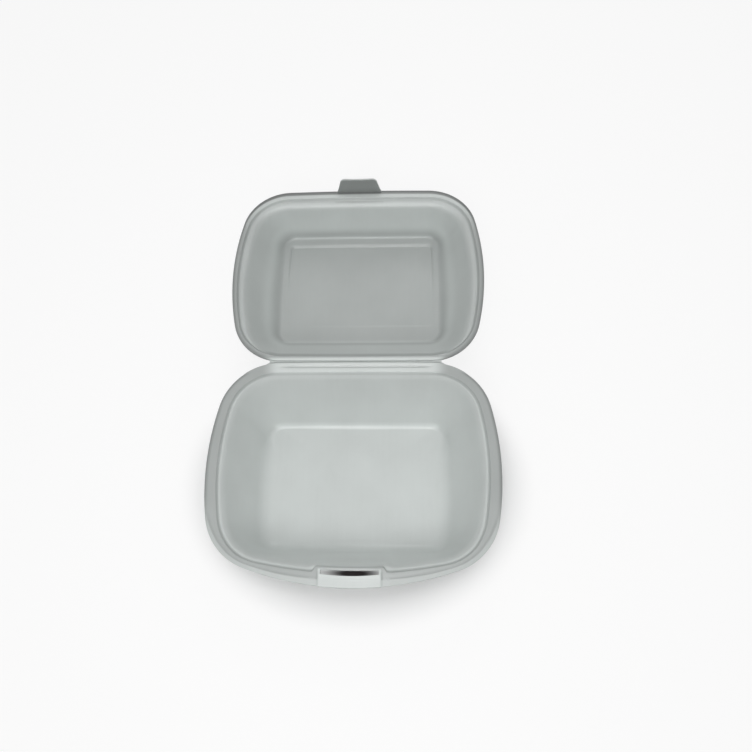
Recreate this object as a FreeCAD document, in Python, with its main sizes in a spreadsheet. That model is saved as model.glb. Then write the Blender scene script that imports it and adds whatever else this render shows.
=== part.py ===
"""Foam clamshell container: one moulded foam sheet with a base tray, a lid tray and a living hinge.

Frame: millimetres, +Z up, with the origin on the table at the middle of the open box's footprint.
The box lies open and flat. The crease of the hinge runs along X, the base tray lies towards -Y and
the lid tray towards +Y, both with their insides up.
"""
import FreeCAD, Part
import math
import os

import Sketcher

SHEET_NAME = "Sizes"
MATCH = 0.001

DRIVING_SIZES = [
    ("foam_thickness", 2.3, "foam of the floors and rims"),
    ("wall_shift", 1.4, "outward shift of a wall's outside, one foam thickness below its inside"),
    ("tray_height", 37.5, "table to rim, the same for both trays, so the open box lies flat"),
    ("base_width", 185.0, "base rim, side to side"),
    ("base_depth", 144.9, "base rim, hinge edge to the middle of the front edge"),
    ("base_corner_radius", 39.0, "corners of the base rim"),
    ("base_front_bulge", 195.0, "bow of the base rim's front edge"),
    ("base_inner_bulge", 300.0, "bow of the step and wall behind the base's front edge"),
    ("lid_side_inset", 5.0, "lid rim inside the base's rim when closed, at each side"),
    ("lid_front_inset", 7.9, "lid's front edge behind the base's front edge when closed"),
    ("lid_corner_radius", 34.0, "corners of the lid rim"),
    ("lid_front_bulge", 2000.0, "faint bow of the lid rim's front edge"),
    ("side_bulge", 185.0, "bow of the rims' sides"),
    ("hinge_bulge", 4000.0, "faint bow of the rims' hinge edges"),
    ("base_lip_width", 7.0, "flat lip round the base's rim"),
    ("base_ledge_width", 3.8, "ledge between the base's step and wall"),
    ("lid_lip_width", 3.4, "flat lip round the lid's rim"),
    ("lid_ledge_width", 5.4, "ledge between the lid's step and wall"),
    ("hinge_ledge_width", 2.6, "the same ledge along the hinge, in both trays"),
    ("shoulder_run", 1.2, "level run of the small step inside a lip"),
    ("shoulder_drop", 2.0, "height of the small step inside a lip"),
    ("lip_bevel", 0.5, "softened edges of a lip"),
    ("ledge_bevel", 2.4, "softened edge where a ledge turns down into the wall"),
    ("base_side_run", 20.0, "level run of the base's side walls"),
    ("base_back_run", 21.8, "level run of the base's wall by the hinge"),
    ("base_front_run", 12.5, "level run of the base's front wall"),
    ("lid_side_run", 18.0, "level run of the lid's side walls"),
    ("lid_back_run", 22.7, "level run of the lid's wall by the hinge"),
    ("lid_front_run", 8.5, "level run of the lid's front wall"),
    ("floor_corner_radius", 10.0, "corners of the base's floor and the lid's roof"),
    ("floor_side_bulge", 700.0, "bow of the floor's and roof's sides"),
    ("floor_end_bulge", 4000.0, "bow of the floor's and roof's ends"),
    ("crease_rise", 1.6, "height of the softened crease between floor and wall"),
    ("crease_spread", 0.9, "reach of that crease past the floor's outline"),
    ("crease_reach", 1.6, "reach of that crease onto the floor"),
    ("roof_border", 6.5, "border of the lid's roof round its raised panel"),
    ("panel_step", 1.5, "height of the lid's raised panel"),
    ("panel_slope_run", 1.5, "level run of the panel's edge"),
    ("hinge_land", 0.6, "hinge crease to the edge of either rim"),
    ("web_thickness", 1.0, "pressed foam of the hinge strip"),
    ("web_overlap", 3.0, "reach of the hinge strip under a rim"),
    ("crease_gap", 0.2, "cut between the two halves of the hinge strip"),
    ("web_half_length", 57.0, "middle of the hinge strip to its end, at the crease"),
    ("web_flare", 5.0, "widening of the strip towards the base, at each end"),
    ("groove_place", 3.3, "hinge crease to the bottom of the groove pressed in the base's lip"),
    ("groove_width", 2.0, "that groove's width"),
    ("groove_depth", 0.8, "that groove's depth"),
    ("groove_half_length", 53.0, "middle of the hinge to the groove's end"),
    ("tab_thickness", 1.4, "pressed foam of the lid's tab"),
    ("tab_height", 15.0, "height of the tab above the lid's rim"),
    ("tab_root_width", 33.0, "tab's width at the rim"),
    ("tab_tip_width", 25.0, "tab's width at its tip"),
    ("tab_corner_radius", 4.0, "rounded corners of the tab's tip"),
    ("tab_setback", 0.4, "lid's front edge to the front of the tab"),
    ("slot_clearance", 0.7, "gap between the closed lid's tab and the slot's long edges"),
    ("slot_end_clearance", 0.8, "gap between the closed lid's tab and the slot's ends"),
    ("slot_bow", 1.0, "extra width of the slot at its middle"),
    ("apron_width", 4.5, "sloping band along the base's front edge"),
    ("apron_drop", 1.1, "fall of that band"),
    ("apron_half_length", 78.0, "middle of that band to where it has run out, each way"),
    ("apron_spare", 3.0, "reach of the band's cut past the front edge"),
    ("tongue_width", 37.0, "raised lip in front of the slot"),
    ("tongue_rise", 0.5, "height of that lip's back edge above the rim"),
    ("tongue_reach", 0.3, "reach of that lip past the base's front edge"),
    ("tongue_fall", 1.2, "fall of that lip's front edge below the rim"),
]


class Measure:
    """A length that knows its number and the sheet formula that gives it."""

    def __init__(self, value, text):
        self.value = value
        self.text = text

    def __add__(self, other):
        return Measure(self.value + other.value, "(%s + %s)" % (self.text, other.text))

    def __sub__(self, other):
        return Measure(self.value - other.value, "(%s - %s)" % (self.text, other.text))

    def __neg__(self):
        return Measure(-self.value, "(-%s)" % self.text)

    def __mul__(self, factor):
        return Measure(self.value * factor, "(%s * %r)" % (self.text, factor))

    def half(self):
        """Half of this length."""
        return self * 0.5

    def bind(self, owner, target):
        """Tie a property or constraint of the owner to this length."""
        owner.setExpression(target, self.text)


ZERO = Measure(0.0, "0")


class Sizes:
    """The driving sizes by name, each one a Measure."""

    def __init__(self, doc):
        sheet = doc.addObject("Spreadsheet::Sheet", SHEET_NAME)
        for row, (alias, value, meaning) in enumerate(DRIVING_SIZES, start=1):
            sheet.set("A%d" % row, meaning)
            sheet.set("B%d" % row, "%g" % value)
            sheet.setAlias("B%d" % row, alias)
            setattr(self, alias, Measure(value, "%s.%s" % (SHEET_NAME, alias)))
        doc.recompute()


def sketch_point(x, y):
    """A point of a sketch."""
    return FreeCAD.Vector(x, y, 0)


def arc(centre, radius, start, end):
    """A circular arc of a sketch, anticlockwise between two angles."""
    return Part.ArcOfCircle(Part.Circle(centre, FreeCAD.Vector(0, 0, 1), radius), start, end)


def new_sketch(body, name, role, offset):
    """An empty sketch on one of the body's origin planes, moved along the plane's normal."""
    sketch = body.newObject("Sketcher::SketchObject", name)
    plane = [item for item in body.Origin.OriginFeatures if item.Role == role][0]
    sketch.AttachmentSupport = [(plane, "")]
    sketch.MapMode = "FlatFace"
    offset.bind(sketch, "AttachmentOffset.Base.z")
    return sketch


def constrain(sketch, measure, *definition):
    """Add a constraint whose value follows the measure."""
    index = sketch.addConstraint(Sketcher.Constraint(*definition, measure.value))
    measure.bind(sketch, "Constraints[%d]" % index)


def draw_polygon(body, name, role, offset, corners):
    """Draw a closed polygon whose corners, given as pairs of measures, follow the sheet."""
    sketch = new_sketch(body, name, role, offset)
    count = len(corners)
    for index in range(count):
        start = sketch_point(corners[index][0].value, corners[index][1].value)
        following = corners[(index + 1) % count]
        sketch.addGeometry(Part.LineSegment(start, sketch_point(following[0].value, following[1].value)))
    for index in range(count):
        sketch.addConstraint(Sketcher.Constraint("Coincident", index, 2, (index + 1) % count, 1))
        constrain(sketch, corners[index][0], "DistanceX", -1, 1, index, 1)
        constrain(sketch, corners[index][1], "DistanceY", -1, 1, index, 1)
    return sketch


class Outline:
    """Closed outline of eight tangent arcs: two sides, a hinge end, a front end and four corners.

    It is even about X = 0. The hinge end is at y = -back and the front end at y = -front.
    """

    def __init__(self, half_width, back, front, side_bulge, back_bulge, front_bulge, corner):
        self.half_width = half_width
        self.back = back
        self.front = front
        self.side_bulge = side_bulge
        self.back_bulge = back_bulge
        self.front_bulge = front_bulge
        self.corner = corner

    def inset(self, amount):
        """The outline moved inwards by the same amount all round."""
        return Outline(self.half_width - amount, self.back + amount, self.front - amount,
                       self.side_bulge - amount, self.back_bulge - amount,
                       self.front_bulge - amount, self.corner - amount)

    def corner_place(self, end_bulge):
        """Centre of a corner arc from the outline's middle, and the turns where it meets its neighbours."""
        side_shift = self.half_width.value - self.side_bulge.value
        end_shift = (self.front.value - self.back.value) / 2 - end_bulge
        side_reach = self.side_bulge.value - self.corner.value
        end_reach = end_bulge - self.corner.value
        apart = math.hypot(side_shift, end_shift)
        along = (side_reach ** 2 - end_reach ** 2 + apart ** 2) / (2 * apart)
        across = math.sqrt(side_reach ** 2 - along ** 2)
        x = side_shift - (along * side_shift + across * end_shift) / apart
        y = (along * end_shift - across * side_shift) / apart
        return x, y, math.atan2(y, x - side_shift), math.atan2(y - end_shift, x)

    def arcs(self):
        """First shape of the eight arcs: right side, then anticlockwise to the front right corner."""
        middle = -(self.front.value + self.back.value) / 2
        half_depth = (self.front.value - self.back.value) / 2
        side_shift = self.half_width.value - self.side_bulge.value
        back_bulge, front_bulge = self.back_bulge.value, self.front_bulge.value
        back_x, back_y, back_side, back_end = self.corner_place(back_bulge)
        front_x, front_y, front_side, front_end = self.corner_place(front_bulge)
        turn = math.pi
        corner = self.corner.value
        side = self.side_bulge.value
        return [
            arc(sketch_point(side_shift, middle), side, -front_side, back_side),
            arc(sketch_point(back_x, middle + back_y), corner, back_side, back_end),
            arc(sketch_point(0, middle + half_depth - back_bulge), back_bulge, back_end, turn - back_end),
            arc(sketch_point(-back_x, middle + back_y), corner, turn - back_end, turn - back_side),
            arc(sketch_point(-side_shift, middle), side, turn - back_side, turn + front_side),
            arc(sketch_point(-front_x, middle - front_y), corner, turn + front_side, turn + front_end),
            arc(sketch_point(0, middle - half_depth + front_bulge), front_bulge,
                turn + front_end, 2 * turn - front_end),
            arc(sketch_point(front_x, middle - front_y), corner, 2 * turn - front_end, 2 * turn - front_side),
        ]

    def draw(self, body, name, level):
        """Draw the outline in the body at that level, tied to the sheet."""
        sketch = new_sketch(body, name, "XY_Plane", level)
        sketch.addGeometry(self.arcs(), False)
        for index in range(8):
            sketch.addConstraint(Sketcher.Constraint("Tangent", index, 2, (index + 1) % 8, 1))
        for index in (0, 4):
            constrain(sketch, self.side_bulge, "Radius", index)
        for index in (1, 3, 5, 7):
            constrain(sketch, self.corner, "Radius", index)
        constrain(sketch, self.back_bulge, "Radius", 2)
        constrain(sketch, self.front_bulge, "Radius", 6)
        side_shift = self.side_bulge - self.half_width
        middle = (self.front + self.back).half()
        constrain(sketch, side_shift, "DistanceX", 0, 3, -1, 1)
        constrain(sketch, side_shift, "DistanceX", -1, 1, 4, 3)
        constrain(sketch, middle, "DistanceY", 0, 3, -1, 1)
        constrain(sketch, middle, "DistanceY", 4, 3, -1, 1)
        sketch.addConstraint(Sketcher.Constraint("PointOnObject", 2, 3, -2))
        sketch.addConstraint(Sketcher.Constraint("PointOnObject", 6, 3, -2))
        constrain(sketch, self.back_bulge + self.back, "DistanceY", 2, 3, -1, 1)
        constrain(sketch, self.front_bulge - self.front, "DistanceY", -1, 1, 6, 3)
        return sketch


def pad(body, name, sketch, length, midplane=False):
    """Add the sketch's area, carried along its plane's normal."""
    feature = body.newObject("PartDesign::Pad", name)
    feature.Profile = sketch
    length.bind(feature, "Length")
    feature.Midplane = midplane
    return feature


def loft(body, kind, name, first, *others):
    """Add or cut the loft that runs straight from each sketch to the next."""
    feature = body.newObject("PartDesign::%sLoft" % kind, name)
    feature.Profile = first
    feature.Sections = list(others)
    feature.Ruled = True
    return feature


def edges_along(shape, sketch):
    """Names of the shape's edges that lie on the sketch's edges."""
    names = []
    for index, edge in enumerate(shape.Edges, start=1):
        for line in sketch.Shape.Edges:
            same_middle = edge.CenterOfMass.distanceToPoint(line.CenterOfMass) < MATCH
            if same_middle and abs(edge.Length - line.Length) < MATCH:
                names.append("Edge%d" % index)
    return names


def bevel_edges(body, name, size, sketches):
    """Bevel the edges of the body's last feature that lie on the sketches' edges."""
    body.Document.recompute()
    last = body.Tip
    names = [edge for sketch in sketches for edge in edges_along(last.Shape, sketch)]
    feature = body.newObject("PartDesign::Chamfer", name)
    feature.Base = (last, names)
    size.bind(feature, "Size")
    return feature


def bow_radius(half_chord, bow):
    """Radius of the arc that stands a bow above the middle of its chord."""
    value = (half_chord.value ** 2 + bow.value ** 2) / (2 * bow.value)
    return Measure(value, "((%s ^ 2 + %s ^ 2) / (2 * %s))" % (half_chord.text, bow.text, bow.text))


def draw_arced_area(body, name, level, half_width, straight, bulge, apex):
    """Draw a level area between an arc, two sides and a straight line.

    The arc bows towards -Y with its middle at y = -apex, and the straight line is at y = -straight,
    either behind the arc or in front of it.
    """
    sketch = new_sketch(body, name, "XY_Plane", level)
    half, line_y = half_width.value, -straight.value
    centre_y = bulge.value - apex.value
    spread = math.asin(half / bulge.value)
    side_y = centre_y - bulge.value * math.cos(spread)
    down = 1.5 * math.pi
    sketch.addGeometry(arc(sketch_point(0, centre_y), bulge.value, down - spread, down + spread))
    sketch.addGeometry(Part.LineSegment(sketch_point(half, side_y), sketch_point(half, line_y)))
    sketch.addGeometry(Part.LineSegment(sketch_point(half, line_y), sketch_point(-half, line_y)))
    sketch.addGeometry(Part.LineSegment(sketch_point(-half, line_y), sketch_point(-half, side_y)))
    for index in range(4):
        sketch.addConstraint(Sketcher.Constraint("Coincident", index, 2, (index + 1) % 4, 1))
    sketch.addConstraint(Sketcher.Constraint("Vertical", 1))
    sketch.addConstraint(Sketcher.Constraint("Horizontal", 2))
    sketch.addConstraint(Sketcher.Constraint("Vertical", 3))
    sketch.addConstraint(Sketcher.Constraint("PointOnObject", 0, 3, -2))
    constrain(sketch, half_width, "DistanceX", -1, 1, 1, 2)
    constrain(sketch, -straight, "DistanceY", -1, 1, 1, 2)
    constrain(sketch, bulge, "Radius", 0)
    constrain(sketch, bulge - apex, "DistanceY", -1, 1, 0, 3)
    return sketch


class Tray:
    """One half of the box in its own frame: the hinge edge near y = 0, the front at -Y, the inside up."""

    def __init__(self, doc, label, sizes, rim, step_line, lip_width, ledge_width, runs, border):
        self.body = doc.addObject("PartDesign::Body", label)
        self.label = label
        self.sizes = sizes
        self.rim = rim
        self.step_line = step_line
        self.lip_width = lip_width
        self.lip_line = step_line.inset(lip_width)
        self.shoulder_line = self.lip_line.inset(sizes.shoulder_run)
        self.wall_line = self.shoulder_line.inset(ledge_width)
        self.wall_line.back = self.shoulder_line.back + sizes.hinge_ledge_width
        self.floor_line = self.floor_outline(*runs)
        self.border = border
        self.top = sizes.tray_height
        self.lip_under = self.top - sizes.foam_thickness
        self.ledge_level = self.top - sizes.shoulder_drop
        self.floor_level = sizes.foam_thickness + (sizes.panel_step if border else ZERO)

    def floor_outline(self, side_run, back_run, front_run):
        """Outline of the floor inside the tray, where the walls come down to it."""
        sizes, wall = self.sizes, self.wall_line
        return Outline(wall.half_width - side_run, wall.back + back_run, wall.front - front_run,
                       sizes.floor_side_bulge, sizes.floor_end_bulge, sizes.floor_end_bulge,
                       sizes.floor_corner_radius)

    def draw(self, name, outline, level):
        """Draw one of the tray's outlines at a level."""
        return outline.draw(self.body, "%s_%s" % (self.label, name), level)

    def draw_hollow(self, side, shift, drop):
        """Draw the ledge's edge, the wall's top and foot and the floor, moved outwards and down."""
        sizes = self.sizes
        wall, floor = self.wall_line.inset(-shift), self.floor_line.inset(-shift)
        ledge_level, floor_level = self.ledge_level - drop, self.floor_level - drop
        return [
            self.draw(side + "_ledge_edge", wall.inset(-sizes.ledge_bevel), ledge_level),
            self.draw(side + "_wall_top", wall, ledge_level - sizes.ledge_bevel),
            self.draw(side + "_wall_foot", floor.inset(-sizes.crease_spread), floor_level + sizes.crease_rise),
            self.draw(side + "_floor", floor.inset(sizes.crease_reach), floor_level),
        ]

    def build_outside(self):
        """Lip, step and walls as solid layers, each one foam thickness outside its inner face."""
        sizes, body, label = self.sizes, self.body, self.label
        pad(body, label + "_lip_pad", self.draw("lip", self.rim, self.lip_under), sizes.foam_thickness)
        collar_top = self.step_line.inset(self.lip_width - sizes.shoulder_run)
        loft(body, "Additive", label + "_collar", self.draw("collar_top", collar_top, self.lip_under),
             self.draw("collar_foot", self.lip_line, self.ledge_level - sizes.foam_thickness))
        outside = self.draw_hollow("outside", sizes.wall_shift, sizes.foam_thickness)
        loft(body, "Additive", label + "_walls", *outside)
        if self.border:
            panel = self.floor_line.inset(self.border - sizes.wall_shift)
            loft(body, "Additive", label + "_panel", self.draw("panel_root", panel, sizes.panel_step),
                 self.draw("panel_face", panel.inset(sizes.panel_slope_run), ZERO))

    def cut_inside(self):
        """Cut the step, the hollow and, under a border, the panel's recess."""
        sizes, body, label = self.sizes, self.body, self.label
        loft(body, "Subtractive", label + "_shoulder", self.draw("lip_edge", self.lip_line, self.top),
             self.draw("shoulder_foot", self.shoulder_line, self.ledge_level))
        loft(body, "Subtractive", label + "_hollow", *self.draw_hollow("inside", ZERO, ZERO))
        if self.border:
            panel = self.floor_line.inset(self.border)
            loft(body, "Subtractive", label + "_panel_recess",
                 self.draw("recess_edge", panel, self.floor_level),
                 self.draw("recess_floor", panel.inset(sizes.panel_slope_run), sizes.foam_thickness))

    def soften_lip(self):
        """Bevel the lip's outer edges, above and below, and its inner edge."""
        edges = [
            self.draw("rim_top", self.rim, self.top),
            self.draw("rim_foot", self.rim, self.lip_under),
            self.draw("inner_edge", self.lip_line, self.top),
        ]
        bevel_edges(self.body, self.label + "_lip_bevel", self.sizes.lip_bevel, edges)

    def add_web(self, flare):
        """Add this tray's half of the pressed hinge strip, up to the crease."""
        sizes = self.sizes
        crease = -sizes.crease_gap.half()
        root = -(sizes.hinge_land + sizes.web_overlap)
        half_crease = sizes.web_half_length
        half_root = half_crease + flare
        sketch = draw_polygon(self.body, self.label + "_web", "XY_Plane", self.lip_under,
                              [(half_root, root), (half_crease, crease), (-half_crease, crease),
                               (-half_root, root)])
        pad(self.body, self.label + "_web_pad", sketch, sizes.web_thickness)


def make_base(doc, sizes):
    """The base tray with its sloping front band, the slot for the lid's tab and the lip before it."""
    back = sizes.hinge_land
    front = back + sizes.base_depth
    rim = Outline(sizes.base_width.half(), back, front, sizes.side_bulge, sizes.hinge_bulge,
                  sizes.base_front_bulge, sizes.base_corner_radius)
    band_edge = front - sizes.apron_width
    step_line = Outline(rim.half_width, back, band_edge, sizes.side_bulge, sizes.hinge_bulge,
                        sizes.base_inner_bulge, sizes.base_corner_radius)
    runs = (sizes.base_side_run, sizes.base_back_run, sizes.base_front_run)
    base = Tray(doc, "base", sizes, rim, step_line, sizes.base_lip_width, sizes.base_ledge_width, runs, None)
    base.build_outside()
    base.cut_inside()
    base.soften_lip()
    base.add_web(sizes.web_flare)
    cut_hinge_groove(base)
    cut_apron(base, front, band_edge)
    add_latch(base, front)
    return base.body


def cut_hinge_groove(base):
    """Press a shallow groove in the base's lip, along the hinge."""
    sizes, body = base.sizes, base.body
    place, half_width = sizes.groove_place, sizes.groove_width.half()
    above = base.top + sizes.groove_depth
    bottom = base.top - sizes.groove_depth
    profile = draw_polygon(body, "base_groove", "YZ_Plane", ZERO,
                           [(half_width + half_width - place, above), (-place, bottom),
                            (-place - half_width - half_width, above)])
    cut = body.newObject("PartDesign::Pocket", "base_groove_cut")
    cut.Profile = profile
    cut.Midplane = True
    (sizes.groove_half_length + sizes.groove_half_length).bind(cut, "Length")


def cut_apron(base, front, band_edge):
    """Slope the rim's front band down from the lip to the front edge."""
    sizes, body = base.sizes, base.body
    spare = front + sizes.apron_spare
    half = sizes.apron_half_length
    areas = []
    for name, bulge, apex, level in (
            ("apron_top", sizes.base_inner_bulge, band_edge, base.top),
            ("apron_foot", sizes.base_front_bulge, front, base.top - sizes.apron_drop)):
        areas.append(draw_arced_area(body, "base_" + name, level, half, spare, bulge, apex))
    loft(body, "Subtractive", "base_apron", *areas)


def lid_depth(sizes):
    """Hinge edge to front edge of the lid's rim."""
    return sizes.base_depth - sizes.lid_front_inset


def tab_place(sizes):
    """Distances from the hinge crease to the inner and the outer face of the lid's tab."""
    outer = sizes.hinge_land + lid_depth(sizes) - sizes.tab_setback
    return outer - sizes.tab_thickness, outer


def add_latch(base, front):
    """Add the lip in front of the slot, then cut the slot that the closed lid's tab drops into."""
    sizes, body = base.sizes, base.body
    tab_inner, tab_outer = tab_place(sizes)
    slot_back = tab_inner - sizes.slot_clearance
    slot_side_front = tab_outer + sizes.slot_clearance
    slot_apex = slot_side_front + sizes.slot_bow
    half_slot = sizes.tab_root_width.half() + sizes.slot_end_clearance
    tongue_front = front + sizes.tongue_reach
    profile = draw_polygon(body, "base_tongue", "YZ_Plane", ZERO,
                           [(-slot_side_front, base.lip_under),
                            (-slot_side_front, base.top + sizes.tongue_rise),
                            (-tongue_front, base.top - sizes.tongue_fall),
                            (-tongue_front, base.lip_under)])
    pad(body, "base_tongue_pad", profile, sizes.tongue_width, midplane=True)
    slot = draw_arced_area(body, "base_slot", base.top + sizes.tongue_rise, half_slot, slot_back,
                           bow_radius(half_slot, sizes.slot_bow), slot_apex)
    cut = body.newObject("PartDesign::Pocket", "base_slot_cut")
    cut.Profile = slot
    depth = sizes.tongue_rise + sizes.foam_thickness + sizes.shoulder_drop
    depth.bind(cut, "Length")


def make_lid(doc, sizes):
    """The lid tray with its raised roof panel and its standing tab, laid open past the crease."""
    back = sizes.hinge_land
    half_width = sizes.base_width.half() - sizes.lid_side_inset
    rim = Outline(half_width, back, back + lid_depth(sizes), sizes.side_bulge, sizes.hinge_bulge,
                  sizes.lid_front_bulge, sizes.lid_corner_radius)
    runs = (sizes.lid_side_run, sizes.lid_back_run, sizes.lid_front_run)
    lid = Tray(doc, "lid", sizes, rim, rim, sizes.lid_lip_width, sizes.lid_ledge_width, runs,
               sizes.roof_border)
    lid.build_outside()
    lid.cut_inside()
    lid.soften_lip()
    lid.add_web(ZERO)
    add_tab(lid)
    return lid.body


def add_tab(lid):
    """Add the tab that stands on the lid's front lip, narrower towards its rounded tip."""
    sizes, body = lid.sizes, lid.body
    tab_inner, tab_outer = tab_place(sizes)
    half_root = sizes.tab_root_width.half()
    half_tip = sizes.tab_tip_width.half()
    tip = lid.top + sizes.tab_height
    sketch = draw_polygon(body, "lid_tab", "XZ_Plane", tab_inner,
                          [(half_root, lid.lip_under), (half_root, lid.top), (half_tip, tip),
                           (-half_tip, tip), (-half_root, lid.top), (-half_root, lid.lip_under)])
    pad(body, "lid_tab_pad", sketch, sizes.tab_thickness)
    body.Document.recompute()
    middle = -(tab_inner + tab_outer).half().value
    names = []
    for index, edge in enumerate(body.Tip.Shape.Edges, start=1):
        place = edge.CenterOfMass
        at_tip = abs(place.z - tip.value) < MATCH and abs(abs(place.x) - half_tip.value) < MATCH
        if at_tip and abs(place.y - middle) < MATCH:
            names.append("Edge%d" % index)
    last = body.Tip
    feature = body.newObject("PartDesign::Fillet", "lid_tab_round")
    feature.Base = (last, names)
    sizes.tab_corner_radius.bind(feature, "Radius")


def lay_open(base, lid, sizes):
    """Turn the lid to lie past the crease, and centre the open box's footprint on the origin."""
    base_reach = sizes.base_depth + sizes.tongue_reach
    shift = (base_reach - lid_depth(sizes)).half()
    lid.Placement = FreeCAD.Placement(FreeCAD.Vector(0, 0, 0), FreeCAD.Rotation(180, 0, 0))
    for body in (base, lid):
        shift.bind(body, "Placement.Base.y")


def check_document(doc, bodies):
    """Stop if any object of the document failed or any body is not one valid solid."""
    doc.recompute()
    for item in doc.Objects:
        if "Invalid" in item.State or "Error" in item.State:
            raise RuntimeError("%s did not build" % item.Label)
    for body in bodies:
        shape = body.Shape
        if shape.isNull() or not shape.isValid() or len(shape.Solids) != 1:
            raise RuntimeError("%s is not one valid solid" % body.Label)
        print(body.Label, "volume", round(shape.Volume), "box", shape.optimalBoundingBox())


def main():
    """Build both trays and write one STEP file for each."""
    doc = FreeCAD.newDocument("foam_clamshell")
    sizes = Sizes(doc)
    base = make_base(doc, sizes)
    lid = make_lid(doc, sizes)
    lay_open(base, lid, sizes)
    bodies = [base, lid]
    check_document(doc, bodies)
    os.makedirs("parts", exist_ok=True)
    for body in bodies:
        body.Shape.exportStep("parts/%s.step" % body.Label)


main()
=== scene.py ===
"""Looks of an open foam clamshell container, laid flat with both trays up.

Lengths are written in millimetres in the frame of the part: X along the hinge, the base tray
towards -Y, the lid tray towards +Y. Distances called reach run from the hinge's crease.
"""

import logging
import math
from dataclasses import dataclass, field, replace
from enum import Enum

import bpy
import numpy as np
from mathutils import Matrix, Vector

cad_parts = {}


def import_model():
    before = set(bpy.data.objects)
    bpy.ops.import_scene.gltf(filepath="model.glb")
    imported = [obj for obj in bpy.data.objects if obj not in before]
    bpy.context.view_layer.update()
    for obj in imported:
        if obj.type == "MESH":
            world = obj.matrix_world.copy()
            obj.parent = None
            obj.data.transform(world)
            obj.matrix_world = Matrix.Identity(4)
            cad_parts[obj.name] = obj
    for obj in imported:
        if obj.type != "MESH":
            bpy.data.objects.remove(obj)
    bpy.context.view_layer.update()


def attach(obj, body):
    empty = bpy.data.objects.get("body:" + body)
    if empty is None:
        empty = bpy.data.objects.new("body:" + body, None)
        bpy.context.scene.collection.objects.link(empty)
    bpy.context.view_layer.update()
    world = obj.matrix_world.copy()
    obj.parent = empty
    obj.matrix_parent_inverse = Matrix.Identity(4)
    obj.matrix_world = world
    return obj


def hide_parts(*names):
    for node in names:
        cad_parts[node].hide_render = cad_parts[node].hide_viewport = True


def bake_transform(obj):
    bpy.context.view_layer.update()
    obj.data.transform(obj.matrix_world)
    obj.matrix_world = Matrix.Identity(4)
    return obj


log = logging.getLogger("foam_clamshell")

MM = 0.001
IMAGE_SIZE = 752
CREASE_Y = 4.1
RIM_LEVEL = 37.5
LIP_UNDER = 35.2
LEDGE_LEVEL = 35.5
FOAM = 2.3
WALL_SHIFT = 1.4
LEDGE_BEVEL = 2.4

# Distances from the middle of a front edge at which every ring has a point, for the slot and the lip before it.
FRONT_STATIONS = np.array([0.0, 2.0, 4.0, 6.0, 8.0, 10.0, 12.0, 14.0, 15.7, 17.3, 17.9, 18.3, 18.7, 19.2, 20.2,
                           22.0, 24.0, 26.0])
SIDE_POINTS = 34
CORNER_POINTS = 30
HINGE_POINTS = 56
FRONT_OUTER_POINTS = 14
LIP_SHARES = np.array([0.08, 0.20, 0.30, 0.41, 0.471, 0.52, 0.57, 0.614, 0.66, 0.71, 0.757, 0.83, 0.92])
SLOT_BACK_ROW = 1
SLOT_FRONT_ROW = 5
FRONT_REACH = 100.0

# Heights between which the skin passes from the outside of a floor to its inside.
INSIDE_SKIN = (1.9, 2.2)

# Shares of the way from a middle point at which the rings lie that close a skin.
TRAY_CLOSING = np.array([0.1, 0.22, 0.36, 0.5, 0.64, 0.78, 0.9])
TAB_CLOSING = np.array([0.25, 0.5, 0.72, 0.9])


class Heading(Enum):
    """Which way a tray lies from the hinge."""

    BASE = 1.0
    LID = -1.0


def smooth(values: np.ndarray, low: float, high: float) -> np.ndarray:
    """Smooth step of the values: 0 at low, 1 at high, 3t^2 - 2t^3 between.

    Args:
        values: Numbers to step.
        low: Where the step starts; it may lie above high, for a falling step.
        high: Where the step ends.

    Returns:
        The step, with the shape of the values.
    """
    t = np.clip((values - low) / (high - low), 0.0, 1.0)
    return t * t * (3.0 - 2.0 * t)


def swell(x: np.ndarray, y: np.ndarray, seed: int, shortest: float, longest: float, waves: int = 14) -> np.ndarray:
    """Gentle unevenness of moulded foam: the mean of some sine waves of random heading and length.

    Args:
        x: Coordinates in millimetres.
        y: Coordinates in millimetres.
        seed: Seed of the headings, lengths and phases.
        shortest: Shortest wave.
        longest: Longest wave.
        waves: Number of waves.

    Returns:
        Heights of about -1 to 1.
    """
    rng = np.random.default_rng(seed)
    heading = rng.uniform(0.0, 2.0 * math.pi, waves)
    turns = 2.0 * math.pi / rng.uniform(shortest, longest, waves)
    phase = rng.uniform(0.0, 2.0 * math.pi, waves)
    along = x[..., None] * np.cos(heading) + y[..., None] * np.sin(heading)
    return np.sin(along * turns + phase).mean(axis=-1) * 2.2


def add_mesh(name: str, points: np.ndarray, faces: list[np.ndarray], painted_light: np.ndarray,
             material: bpy.types.Material, sharp_deg: float = 50.0) -> bpy.types.Object:
    """Put a skin into a new mesh object, without its unused points.

    Args:
        name: Name of the piece.
        points: Points in millimetres, one row each.
        faces: Arrays of faces, each with three or four point numbers a row.
        painted_light: Painted light and shade, as a share of the foam's plain brightness, one per point.
        material: Finish of the piece.
        sharp_deg: Edges that turn by more than this stay crisp.

    Returns:
        The new object, at the origin.
    """
    used = np.unique(np.concatenate([group.ravel() for group in faces]))
    number = np.full(len(points), -1)
    number[used] = np.arange(len(used))
    mesh = bpy.data.meshes.new(name)
    mesh.from_pydata((points[used] * MM).tolist(), [], [face for group in faces for face in number[group].tolist()])
    mesh.attributes.new("painted_light", "FLOAT", "POINT").data.foreach_set("value", painted_light[used].astype(np.float32))
    mesh.materials.append(material)
    mesh.shade_smooth()
    mesh.set_sharp_from_angle(angle=math.radians(sharp_deg))
    piece = bpy.data.objects.new(name, mesh)
    bpy.context.collection.objects.link(piece)
    return piece


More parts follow.
